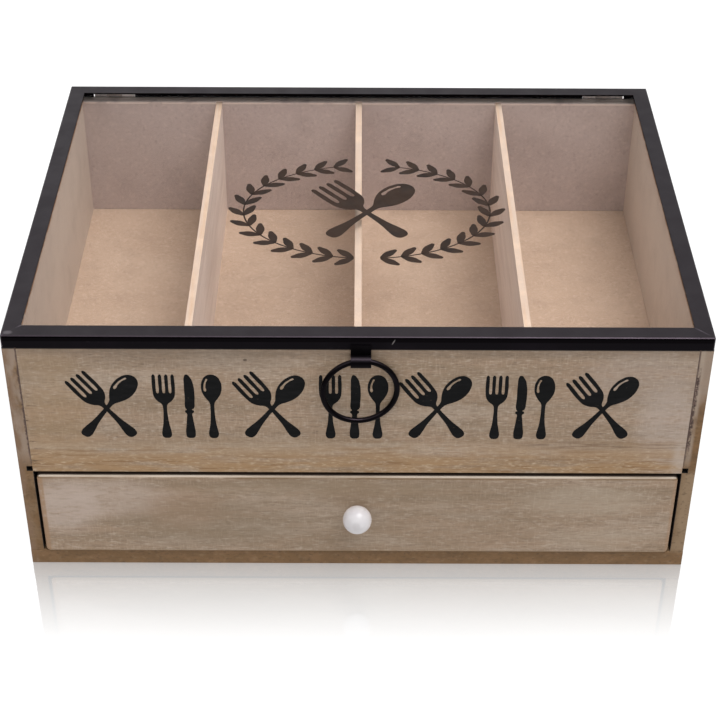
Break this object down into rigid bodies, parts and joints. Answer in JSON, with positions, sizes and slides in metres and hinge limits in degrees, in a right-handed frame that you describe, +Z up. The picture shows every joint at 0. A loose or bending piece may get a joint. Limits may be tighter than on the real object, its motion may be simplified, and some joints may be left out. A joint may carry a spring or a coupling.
{
  "type": "cutlery chest",
  "caption": "Low wooden cutlery chest: long divided compartments under a hinged glass lid in a black steel frame with a ring pull, and a full-width drawer with a ball knob below.",
  "frame": {"origin": "middle of the underside, on the surface that the chest stands on", "axes": "+X to the right seen from the front, +Y to the back, +Z up; the drawer opens towards -Y"},
  "size_m": [0.345, 0.2775, 0.149],
  "materials": {
    "whitewashed_wood": "brown stain with a rubbed whitewash, grain left to right",
    "stained_fibreboard": "brown-stained fibreboard, whitewashed towards the rim",
    "raw_fibreboard": "bare fibreboard, matt",
    "raw_plywood": "bare light wood, sawn edges",
    "black_enamelled_steel": "satin black stoving enamel",
    "window_glass": "clear polished float glass",
    "plated_steel": "bright zinc plate",
    "white_porcelain": "white gloss glaze"
  },
  "bodies": {
    "carcass": {"bottom_board": "stained_fibreboard", "left_side_panel": "stained_fibreboard", "right_side_panel": "stained_fibreboard", "back_panel": "stained_fibreboard", "front_board": "whitewashed_wood", "middle_floor": "raw_fibreboard", "left_divider": "raw_plywood", "centre_divider": "raw_plywood", "right_divider": "raw_plywood", "side_panel_pins": "plated_steel", "bottom_board_pins": "plated_steel", "left_hinge_box_leaf": "plated_steel", "right_hinge_box_leaf": "plated_steel", "left_hinge_pin": "plated_steel", "right_hinge_pin": "plated_steel", "hinge_screws": "plated_steel"},
    "drawer": {"drawer_front": "whitewashed_wood", "drawer_left_side": "raw_plywood", "drawer_right_side": "raw_plywood", "drawer_back": "raw_plywood", "drawer_bottom": "raw_fibreboard", "drawer_knob": "white_porcelain", "knob_screw": "plated_steel", "drawer_pins": "plated_steel"},
    "lid": {"lid_front_rail": "black_enamelled_steel", "lid_back_rail": "black_enamelled_steel", "lid_left_rail": "black_enamelled_steel", "lid_right_rail": "black_enamelled_steel", "lid_glass": "window_glass", "glass_clips": "plated_steel", "ring_strap": "black_enamelled_steel", "left_hinge_lid_leaf": "plated_steel", "right_hinge_lid_leaf": "plated_steel"},
    "ring": {"pull_ring": "black_enamelled_steel"}
  },
  "joints": [
    {"name": "lid_hinge", "type": "hinge", "parent": "carcass", "child": "lid", "pos_m": [0, 0.1303, 0.142], "axis": [-1, 0, 0], "range_deg": [0, 105]},
    {"name": "drawer_slide", "type": "slide", "parent": "carcass", "child": "drawer", "axis": [0, -1, 0], "range_m": [0, 0.2]},
    {"name": "ring_swing", "type": "hinge", "parent": "lid", "child": "ring", "pos_m": [0, -0.1315, 0.1368], "axis": [-1, 0, 0], "range_deg": [0, 180]}
  ]
}
